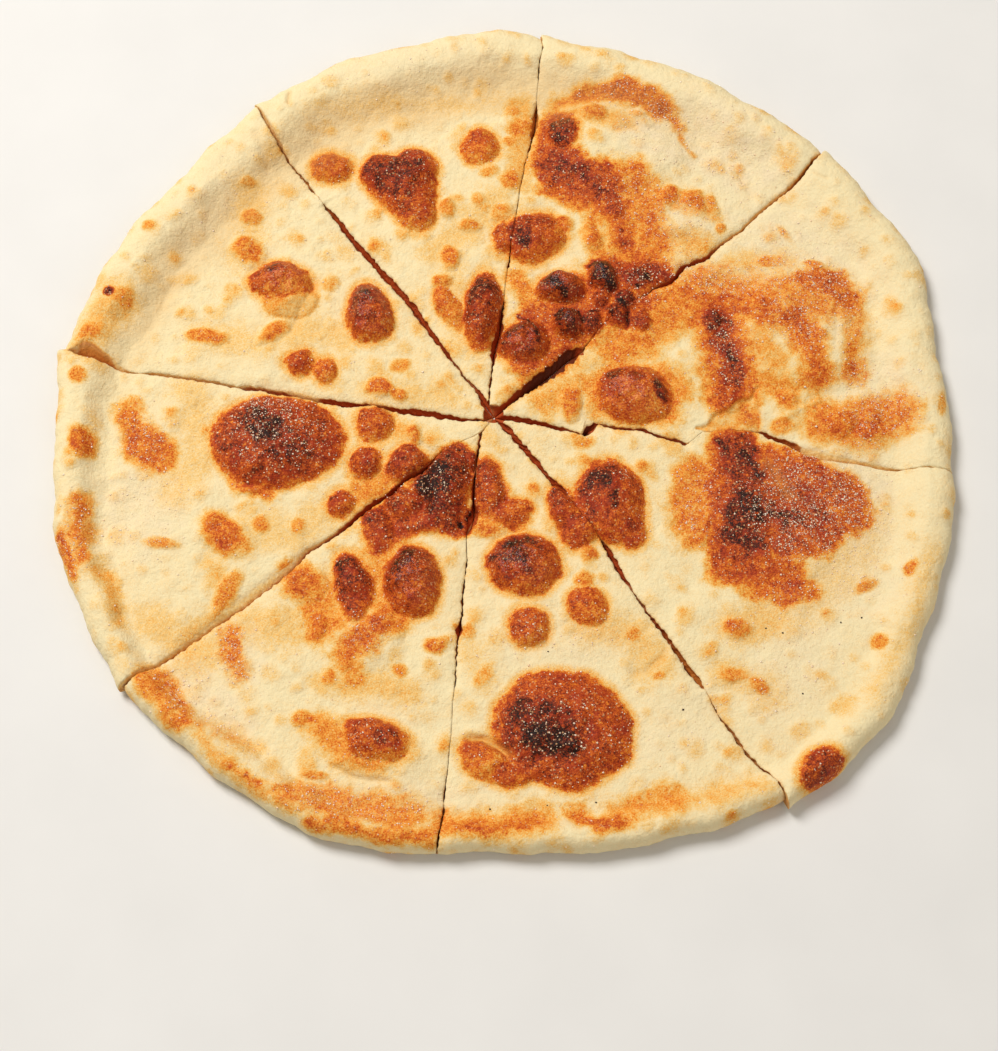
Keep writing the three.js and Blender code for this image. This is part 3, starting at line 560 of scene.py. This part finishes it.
def sheet_height(x, y, angle, inset, from_cut, gap, sink, tear):
    """The height of the crust over the table."""
    width = rim_width(angle)
    crest = width * CREST_SHARE
    top = rim_crest(angle)
    # inward of the crest the profile follows the smooth outline, and wanders
    calm = around(REACH, angle) - np.hypot(x - HUB[0], y - HUB[1])
    wander = ripples(x, y, (2.6, 24, 8), (1.2, 9, 9))
    inset = mix(inset, np.maximum(calm + wander, crest), smooth(crest, crest + 7, inset))
    outer = mix(EDGE_HEIGHT, top, arch(inset / crest))
    inner = mix(top, SHEET, smooth(1.2 * crest, 1.05 * width, inset))
    height = np.where(inset < crest, outer, inner)
    fade = smooth(0, UNDERCUT, inset)
    slow = ripples(x, y, (0.5, 30, 1), (0.5, 14, 2))
    quick = ripples(x, y, (0.22, 6, 4), (0.14, 2.6, 6), (0.09, 1.3, 7))
    lift = blister_lift(x, y) - sink - TEAR_DEPTH * tear
    pressed = (0.8 * np.exp(-from_cut / 1.1) + 0.4 * np.exp(-from_cut / 5)) * smooth(0, 0.5, gap)
    return height + fade * (slow + lift) + mix(0.4, 1, fade) * (quick - pressed)


def hollow_shade(x, y, inset, angle):
    """How strongly yellow shade is painted into the shallow hollow behind the rim, on its far side."""
    share = inset / rim_width(angle) + 0.12 * noise(x, y, 16, 8)
    # yellow shade is painted only on the far side, where the rim's inner slope faces away from the key light
    far_side = smooth(0.3, 0.9, np.cos(angle - 2))
    return 0.5 * smooth(0.4, 0.8, share) * (1 - smooth(1, 1.5, share)) * far_side


class Cut:
    """A cut through the bread, and the two ragged edges that it leaves."""

    def __init__(self, number, bearing, course):
        self.number = number
        self.bearing = math.radians(bearing)
        course = np.array([(*row, 0)[:4] for row in course]) / (1, 10, 10, 10)
        self.far, self.wander, self.gaps, self.setbacks = course.T

    def gap(self, distance):
        return np.interp(distance, self.far, self.gaps)

    def lean(self, distance, side):
        """How far the upper skin stands back from the lower on one side."""
        behind = math.sin(self.bearing + math.pi / 2 * side) > 0
        return behind * np.interp(distance, self.far, self.setbacks)

    def edge(self, distance, side, upper):
        """Angle and radius from the hub of points on one edge; side is 1 on the left of the cut."""
        seed = 70 + 4 * self.number + side + (0 if upper else 20)
        still = distance * 0
        ragged = ripples(distance, still, (0.34, 1.3, seed), (0.4, 2.8, seed + 1))
        half = self.gap(distance) / 2
        half = half + ragged * mix(0.12, 1, smooth(0, 0.3, half)) * mix(1, 2.2, smooth(0.8, 2.2, half))
        centre = np.interp(distance, self.far, self.wander) + 0.3 * noise(distance, still, 9, 7 + self.number)
        if upper:
            half = np.maximum(half + self.lean(distance, side), HAIRLINE)
        else:
            half = np.maximum(LIP_GAP * half, LOW_HAIRLINE)
            centre = centre * smooth(0, 9, distance)
        across = centre + side * half
        return self.bearing + np.arctan2(across, distance), np.hypot(distance, across)


# What each point of the crust tells the material: how brown, floured, cut open, shaded and glossy it is.
# The shade is painted shade on the upper side, and on cut walls how far out from the hub the wall lies.
# On cut walls the brown also holds painted shade, darker the wider the gap.
MARKS = ("brown", "flour", "crumb", "shade", "gloss")


class Skin:
    """Rows of points, stitched into one closed surface."""

    def __init__(self):
        self.points = []
        self.faces = []
        self.count = 0

    def row(self, *facts):
        """Adds points, given by x, y, z and their MARKS, and returns their numbers."""
        points = np.column_stack(np.broadcast_arrays(*facts))
        self.points.append(points)
        self.count += len(points)
        return np.arange(self.count - len(points), self.count)

    def stitch(self, first, second, flip=False):
        """Joins two rows with any numbers of points by one strip of triangles."""
        n = len(first) - 1
        m = len(second) - 1
        times = np.concatenate([(np.arange(n) + 0.5) / n, (np.arange(m) + 0.5) / m])
        on_first = (np.arange(n + m) < n)[np.argsort(times, kind="stable")]
        a = np.cumsum(on_first)
        b = np.cumsum(~on_first)
        new = np.where(on_first, first[a], second[b])
        face = np.column_stack([first[a - on_first], second[b - ~on_first], new])
        whole = (face != np.roll(face, 1, axis=1)).all(axis=1)
        self.faces.append(face[whole, ::-1] if flip else face[whole])


cuts = [Cut(n, *facts) for n, facts in enumerate(CUTS.values())]


def slice_start(right, left):
    """How far from the hub a slice's point is wide enough to hold together."""
    right_angle, right_radius = right.edge(POINT_STARTS, 1, True)
    left_angle, _ = left.edge(POINT_STARTS, -1, True)
    turn = (left_angle - right_angle + math.pi) % (2 * math.pi) - math.pi
    return POINT_STARTS[np.argmax(turn * right_radius > POINT_WIDTH)]


def slice_rows(right, left, tips, start, upper):
    """Yields each row from the point to the rim: what gives its radius and inset, and its two ends."""
    inner = int(RADIUS / SPACING)
    for row in range(inner + RIM_ROWS + 1):
        out = min(row / inner, 1)
        curl = max(row - inner, 0) / RIM_ROWS * math.pi / 2
        grow = smooth(-25, 0, RADIUS * (out - 1))

        def nominal(angle):
            reach = reach_at(angle)
            crest = rim_width(angle) * CREST_SHARE
            inset = crest * (1 - math.sin(curl)) if row > inner else reach - mix(start, reach - crest, out)
            return reach - inset, inset

        ends = []
        for cut, side, tip in ((right, 1, tips[0]), (left, -1, tips[1])):
            along = nominal(cut.bearing)[0] + tip * grow
            ends.append((*cut.edge(along, side, upper), cut.lean(along, side), cut.gap(along)))
        yield nominal, ends


def spread(nominal, ends, spacing):
    """The points of one row, spaced evenly from the right end to the left end."""
    (right_angle, right_radius, _, right_gap), (left_angle, left_radius, _, left_gap) = ends
    turn = (left_angle - right_angle) % (2 * math.pi)
    if turn > math.pi:
        turn = TIP_TURN
    arc = turn * (right_radius + left_radius) / 2
    count = max(3, int(round(arc / spacing)))
    share = np.arange(count + 1) / count
    angle = right_angle + share * turn
    radius, inset = nominal(angle)
    power = max(1, arc / TIP_SPREAD)
    right_pull = right_radius - radius[0]
    left_pull = left_radius - radius[-1]
    radius = radius + right_pull * (1 - share) ** power + left_pull * share ** power
    from_cut = np.minimum(share, 1 - share) * arc
    gap = np.where(share < 0.5, right_gap, left_gap)
    return angle, radius, inset, from_cut, gap


def place(angle, radius):
    return HUB[0] + radius * np.cos(angle), HUB[1] + radius * np.sin(angle)


def unrolled(angle, radius, inset, under=0):
    """Where a point would lie with the rim's outer side flattened, so that browning keeps its size there."""
    crest = rim_width(angle) * CREST_SHARE
    return place(angle, radius + SIDE_REACH * (1 - arch(inset / crest)) + under)


def build_slice(right, left, tips):
    """Returns one slice's points with their marks, its faces, and how many points its upper side has."""
    start = slice_start(right, left)
    uppers = []
    leans = []
    lowers = []
    for nominal, ends in slice_rows(right, left, tips, start, True):
        uppers.append(spread(nominal, ends, SPACING))
        leans.append([end[2] for end in ends])
    for nominal, ends in slice_rows(right, left, tips, HUB_LIP, False):
        _, inset = nominal(ends[0][0])
        lowers.append(spread(nominal, ends, UNDER_SPACING if inset > 12 else UNDER_RIM_SPACING))

    # the whole upper side at once
    angle, radius, inset, from_cut, gap = (np.concatenate([row[k] for row in uppers]) for k in range(5))
    x, y = place(angle, radius)
    tear = torn(x, y)
    sink, crease = crease_marks(x, y)
    brown, gloss = baked(*unrolled(angle, radius, inset))
    brown = mix(brown, 0.38 + 0.22 * noise(x, y, 6, 62) + 0.1 * noise(x, y, 2, 63), tear)
    brown = mix(brown, 0.3, smooth(0.6, 1, crease))
    z = sheet_height(x, y, angle, inset, from_cut, gap, sink, tear) + skin_relief(x, y, brown, gloss)
    # Painted shade: deepest in creases, a little in the torn place, and yellow in the hollow behind the far
    # rim.
    shade = np.maximum(crease, 0.2 * tear) + hollow_shade(x, y, inset, angle)
    skin = Skin()
    numbers = skin.row(x, y, z, brown, floured(x, y), 0, shade, gloss)
    top_rows = np.split(numbers, np.cumsum([len(row[0]) for row in uppers])[:-1])
    last = len(uppers) - 1

    under_rows = []
    wall_rows = ([], [])
    share = np.arange(1, WALL_LEVELS) / WALL_LEVELS
    for n in range(last):
        top = top_rows[n]
        lower_angle, lower_radius, lower_inset = lowers[n][:3]
        lx, ly = place(lower_angle, lower_radius)
        lz = np.minimum(EDGE_HEIGHT * (1 - arch(lower_inset / UNDERCUT)), 0.9 * z[top].min())
        base = np.clip(0.34 + 0.22 * noise(lx, ly, 12, 81) + 0.16 * noise(lx, ly, 4, 82), 0.1, 0.8)
        if lower_inset.min() < UNDERCUT:
            side, _ = baked(*unrolled(lower_angle, lower_radius, 0 * lower_inset, 2 * lower_inset))
            base = mix(side, base, smooth(0, UNDERCUT, lower_inset))
        under = skin.row(lx, ly, lz, base, 0, 0, 0, 0)
        under_rows.append(under)
        for wall, end in zip(wall_rows, (0, -1)):
            corner = top[end]
            lean = min(leans[n][end] / 1.5, 1)
            gap = uppers[n][4][end]
            far = math.hypot(x[corner] - HUB[0], y[corner] - HUB[1])
            out = mix(smooth(0.25, 1, share), 1 - (1 - share) ** 2.4, lean)
            wx = mix(x[corner], lx[end], out)
            wy = mix(y[corner], ly[end], out)
            wz = mix(z[corner], lz[end], share)
            pale = lean * (1 - smooth(0.6, 1.4, gap))
            toasted = smooth(mix(-0.2, 0.5, pale), mix(0.3, 0.95, pale), share)
            rough = min(0.35, 0.3 * gap) * np.sin(math.pi * share)
            rough = rough * noise(far + share * 0, share * SHEET, 1.4, 83 + end)
            wx = wx - rough * (wy - HUB[1]) / far
            wy = wy + rough * (wx - HUB[0]) / far
            # The foot of each wall is browned bottom crust plus painted shade: browner the wider the gap,
            # past 1 in the widest gaps.
            foot_crust_and_gap_shade = toasted * (mix(0.6, 1, smooth(0.6, 2, gap)) + smooth(2.6, 4.4, gap))
            middle = skin.row(wx, wy, wz, foot_crust_and_gap_shade, 0, 1, smooth(95, 125, far), 0)
            wall.append(np.concatenate([[corner], middle, [under[end]]]))
    under_rows.append(top_rows[last])
    for wall, end in zip(wall_rows, (0, -1)):
        wall.append(np.full(WALL_LEVELS + 1, top_rows[last][end]))

    for n in range(last):
        skin.stitch(top_rows[n], top_rows[n + 1])
        skin.stitch(under_rows[n], under_rows[n + 1], flip=True)
        skin.stitch(wall_rows[0][n], wall_rows[0][n + 1], flip=True)
        skin.stitch(wall_rows[1][n], wall_rows[1][n + 1])

    # the blunted point
    levels = [top_rows[0], *np.transpose([wall[0] for wall in wall_rows])[1:-1], under_rows[0]]
    for upper, lower in zip(levels, levels[1:]):
        skin.stitch(upper, lower, flip=True)
    return np.concatenate(skin.points), np.concatenate(skin.faces), len(x)


def make_piece(name, points, faces, material):
    mesh = bpy.data.meshes.new(name)
    mesh.from_pydata(points * MM, [], faces, shade_flat=False)
    mesh.validate()
    mesh.materials.append(material)
    piece = bpy.data.objects.new(name, mesh)
    bpy.context.collection.objects.link(piece)
    return piece


# ---- Materials ----
def srgb(red, green, blue):
    """A colour as an eye names it, in 0 to 255, for a shader."""
    def linear(value):
        value /= 255
        return value / 12.92 if value <= 0.04045 else ((value + 0.055) / 1.055) ** 2.4
    return (linear(red), linear(green), linear(blue), 1)


# Tones of the crust from raw to burnt, and of the crumb, as colours in 0 to 255.
CRUST_TONES = (
    (0, (243, 226, 180)), (0.12, (243, 218, 166)), (0.25, (240, 197, 120)), (0.38, (238, 162, 60)),
    (0.5, (222, 116, 32)), (0.62, (194, 80, 22)), (0.74, (152, 54, 17)), (0.85, (92, 31, 13)),
    (0.94, (50, 20, 10)), (1, (28, 14, 9)),
)
CRUMB_TONES = ((0.3, (232, 178, 96)), (0.5, (246, 208, 134)), (0.7, (252, 230, 176)))


class Nodes:
    """Short forms for building a material's node tree."""

    def __init__(self, name):
        self.material = bpy.data.materials.new(name)
        self.material.use_nodes = True
        self.tree = self.material.node_tree
        self.shader = self.tree.nodes["Principled BSDF"]
        self.place = self.add("TexCoord", {}, "Object")

    def link(self, value, socket):
        if hasattr(value, "is_linked"):
            self.tree.links.new(value, socket)
        else:
            socket.default_value = value

    def add(self, kind, inputs, output=0, **settings):
        """Adds a node, sets or links its inputs, and returns one of its outputs."""
        node = self.tree.nodes.new("ShaderNode" + kind)
        for setting, value in settings.items():
            setattr(node, setting, value)
        for socket, value in inputs.items():
            self.link(value, node.inputs[socket])
        return node.outputs[output]

    def mark(self, name):
        return self.add("Attribute", {}, "Fac", attribute_name=name)

    def noise(self, size, detail=2, rough=0.5):
        """Noise from 0 to 1 with features of about `size` millimetres."""
        facts = {"Vector": self.place, "Scale": 1 / (size * MM), "Detail": detail, "Roughness": rough}
        return self.add("TexNoise", facts, "Fac")

    def cells(self, size):
        """How far the nearest of spots about `size` millimetres apart is."""
        return self.add("TexVoronoi", {"Vector": self.place, "Scale": 1 / (size * MM)}, "Distance")

    def math(self, operation, first, second, clamp=False):
        return self.add("Math", {0: first, 1: second}, operation=operation, use_clamp=clamp)

    def plus(self, first, second, clamp=False):
        return self.math("ADD", first, second, clamp)

    def times(self, first, second):
        return self.math("MULTIPLY", first, second)

    def remap(self, value, low, high, start=0, end=1):
        facts = dict(enumerate((value, low, high, start, end)))
        return self.add("MapRange", facts, interpolation_type="SMOOTHSTEP")

    def mix(self, share, first, second):
        return self.add("Mix", {0: share, 6: first, 7: second}, 2, data_type="RGBA")

    def ramp(self, value, stops):
        """A colour from stops of a position and a colour in 0 to 255."""
        colour = self.add("ValToRGB", {0: value})
        elements = colour.node.color_ramp.elements
        while len(elements) < len(stops):
            elements.new(0.5)
        for element, (position, tone) in zip(elements, stops):
            element.position = position
            element.color = srgb(*tone)
        return colour

    def finish(self, colour, rough, height, depth):
        """Gives the material its colour, its roughness and its fine relief."""
        self.link(colour, self.shader.inputs["Base Color"])
        self.link(rough, self.shader.inputs["Roughness"])
        bump = self.add("Bump", {"Distance": depth * MM, "Height": height})
        self.link(bump, self.shader.inputs["Normal"])
        return self.material


def crust_material():
    n = Nodes("baked_crust")
    brown, flour, crumb, shade, gloss = map(n.mark, MARKS)
    fine = n.plus(n.noise(0.6, 3, 0.65), -0.5)
    blotch = n.plus(n.noise(2.6, 3), -0.5)
    uneven = n.plus(n.times(fine, 0.95), n.times(blotch, 0.22))
    tone = n.plus(brown, n.times(uneven, n.remap(brown, 0.15, 0.6, 0.5, 1)))
    pores = n.times(n.remap(n.cells(2.2), 0.14, 0.36, 1, 0), n.remap(brown, 0.4, 0.7))
    pores = n.times(pores, n.remap(n.noise(3.4), 0.4, 0.65))
    colour = n.ramp(n.plus(tone, n.times(pores, -0.2)), CRUST_TONES)
    red = n.times(n.remap(n.noise(5.5), 0.48, 0.66, 0, 0.45), n.remap(brown, 0.45, 0.62))
    red = n.times(red, n.remap(brown, 0.76, 0.88, 1, 0))
    colour = n.mix(red, colour, srgb(166, 46, 22))
    # Tiny pale dots on browned crust: pale pores that also bump the surface, painted lighter as glints too.
    pores_and_glints = n.times(n.remap(n.cells(1.25), 0.2, 0.36, 1, 0), n.remap(brown, 0.32, 0.52))
    pores_and_glints = n.times(pores_and_glints, n.remap(n.noise(1.9, 1), 0.38, 0.62, 0, 0.62))
    colour = n.mix(pores_and_glints, colour, srgb(240, 184, 132))
    # Painted shade: the shade mark turns creases, the torn place and the hollow behind the far rim yellower
    # and darker.
    colour = n.mix(n.times(shade, 0.6), colour, srgb(212, 156, 78))
    # On cut walls the shade mark says how far out from the hub the wall lies: red-brown near the hub, ochre
    # further out.
    deep = n.mix(shade, srgb(180, 76, 32), srgb(206, 132, 58))
    inner = n.mix(n.remap(brown, 0.1, 0.9), n.ramp(n.noise(1.6, 4, 0.65), CRUMB_TONES), deep)
    # Painted shade: walls whose brown passes 1, in the widest gaps, turn near black-brown.
    inner = n.mix(n.remap(brown, 1, 2, 0, 0.85), inner, srgb(84, 34, 16))
    colour = n.mix(crumb, colour, inner)
    veil = n.times(n.remap(n.noise(4.5, 4, 0.65), 0.3, 0.7, 0.25, 1), flour)
    veil = n.times(veil, n.remap(brown, 0.1, 0.5, 0.6, 0))
    dust = n.times(n.remap(n.noise(0.5), 0.6, 0.7), n.remap(flour, 0.1, 0.9, 0, 0.5))
    dusted = n.math("MAXIMUM", veil, dust, clamp=True)
    colour = n.mix(dusted, colour, srgb(240, 219, 186))
    rough = n.plus(n.remap(brown, 0.3, 0.75, 0.8, 0.6), n.times(gloss, -0.38))
    rough = n.plus(rough, n.times(dusted, 0.3), clamp=True)
    n.link(n.remap(gloss, 0, 1, 0.2, 0.32), n.shader.inputs["Specular IOR Level"])
    relief = n.plus(n.times(n.noise(1.2, 4, 0.6), 0.7), n.times(dust, 0.2))
    return n.finish(colour, rough, n.plus(relief, n.times(pores_and_glints, 0.35)), 0.75)


def grit_material(name, size, tones, rough):
    """A dull, gritty material mottled between two tones."""
    n = Nodes(name)
    return n.finish(n.ramp(n.noise(size), tones), rough, n.noise(0.2), 0.05)


# ---- The slices ----
def dress_slice(name, material, *form):
    points, faces, top_count = build_slice(*form)
    piece = make_piece(name + "_crust", points[:, :3], faces, material)
    for mark, values in zip(MARKS, points[:, 3:].T):
        layer = piece.data.attributes.new(mark, "FLOAT", "POINT")
        layer.data.foreach_set("value", values.astype(np.float32))
    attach(piece, "root")
    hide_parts(name)
    return points[:top_count]


crust = crust_material()
tops = []
for (slice_name, tips), right, left in zip(SLICES.items(), cuts, cuts[1:] + cuts[:1]):
    tops.append(dress_slice(slice_name, crust, right, left, tips))


# ---- Grains of semolina and burnt specks ----
GEM = np.array([(1, 0, 0), (-1, 0, 0), (0, 1, 0), (0, -1, 0), (0, 0, 1), (0, 0, -1)])
GEM_FACES = np.array([
    (0, 2, 4), (2, 1, 4), (1, 3, 4), (3, 0, 4), (2, 0, 5), (1, 2, 5), (3, 1, 5), (0, 3, 5),
])


def scatter(name, places, sizes, material):
    """One mesh of small rough grains lying at the given places."""
    count = len(places)
    shape = GEM[None] * RANDOM.uniform(0.7, 1.3, (count, 6, 1)) + RANDOM.uniform(-0.15, 0.15, (count, 6, 3))
    turn = RANDOM.uniform(0, 2 * math.pi, count)
    cos = np.cos(turn)[:, None]
    sin = np.sin(turn)[:, None]
    spun = np.stack([
        shape[..., 0] * cos - shape[..., 1] * sin, shape[..., 0] * sin + shape[..., 1] * cos, shape[..., 2],
    ], axis=-1)
    points = places[:, None] + spun * (sizes / 2)[:, None, None] * (1, 1, 0.5) + (0, 0, 0.08)
    faces = GEM_FACES[None] + 6 * np.arange(count)[:, None, None]
    piece = make_piece(name, points.reshape(-1, 3), faces.reshape(-1, 3), material)
    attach(piece, "root")


ground = np.concatenate(tops)
weight = np.maximum(ground[:, 4], 0.04) * (0.01 + ground[:, 3]) * (1 - ground[:, 7])
chosen = RANDOM.choice(len(ground), GRAINS, replace=False, p=weight / weight.sum())
grain_sizes = RANDOM.gamma(6, 0.08, GRAINS).clip(0.25, 1)
semolina = grit_material("semolina_grain", 1.2, ((0.35, (244, 210, 172)), (0.65, (255, 240, 220))), 0.7)
scatter("semolina_grains", ground[chosen, :3], grain_sizes, semolina)

nearest = [np.argmin(np.hypot(ground[:, 0] - x, ground[:, 1] - y)) for x, y in SPECKS]
burnt = grit_material("burnt_speck", 0.4, ((0.3, (30, 18, 14)), (0.7, (70, 40, 26))), 0.8)
scatter("burnt_specks", ground[nearest, :3], np.full(len(SPECKS), SPECK_SIZE), burnt)


# ---- Floor, light and camera ----
FLOOR_SIZE = 30


def floor_material():
    n = Nodes("pale_floor")
    tones = ((0.2, (228.4, 227.1, 224.5)), (0.8, (233.7, 232.4, 229.8)))
    n.link(n.ramp(n.noise(40, 3), tones), n.shader.inputs["Base Color"])
    n.shader.inputs["Roughness"].default_value = 0.8
    return n.material


bpy.ops.mesh.primitive_plane_add(size=FLOOR_SIZE)
floor = bpy.context.object
floor.name = "floor"
floor.data.materials.append(floor_material())


def area_light(name, place, size, power, colour):
    """A round soft lamp that faces the bread; its place and size are in metres."""
    light = bpy.data.lights.new(name, "AREA")
    light.shape = "DISK"
    light.size = size
    light.energy = power
    light.color = colour
    lamp = bpy.data.objects.new(name, light)
    bpy.context.collection.objects.link(lamp)
    lamp.location = place
    lamp.rotation_euler = (-lamp.location).to_track_quat("-Z", "Y").to_euler()


area_light("key", (-0.9, 0.76, 1.7), size=0.9, power=37.5, colour=(1, 0.98, 0.95))
area_light("fill", (1.6, -1.2, 1.8), size=2.4, power=11.2, colour=(1, 0.96, 0.9))

world = bpy.context.scene.world or bpy.data.worlds.new("room")
bpy.context.scene.world = world
world.use_nodes = True
glow = world.node_tree.nodes["Background"].inputs
glow["Color"].default_value = (1, 0.94, 0.85, 1)
glow["Strength"].default_value = 0.3

CAMERA_AIM = (-2.2, -45.1, 6)
CAMERA_TILT = 67.68
CAMERA_DISTANCE = 861.4
LENS = 81.9
camera_data = bpy.data.cameras.new("camera")
camera_data.lens = LENS
camera_data.clip_start = 0.01
camera = bpy.data.objects.new("camera", camera_data)
bpy.context.collection.objects.link(camera)
tilt = math.radians(CAMERA_TILT)
camera.location = (
    CAMERA_AIM[0] * MM,
    (CAMERA_AIM[1] - CAMERA_DISTANCE * math.cos(tilt)) * MM,
    (CAMERA_AIM[2] + CAMERA_DISTANCE * math.sin(tilt)) * MM,
)
camera.rotation_euler = (math.pi / 2 - tilt, 0, 0)
bpy.context.scene.camera = camera
bpy.context.scene.view_settings.view_transform = "Standard"
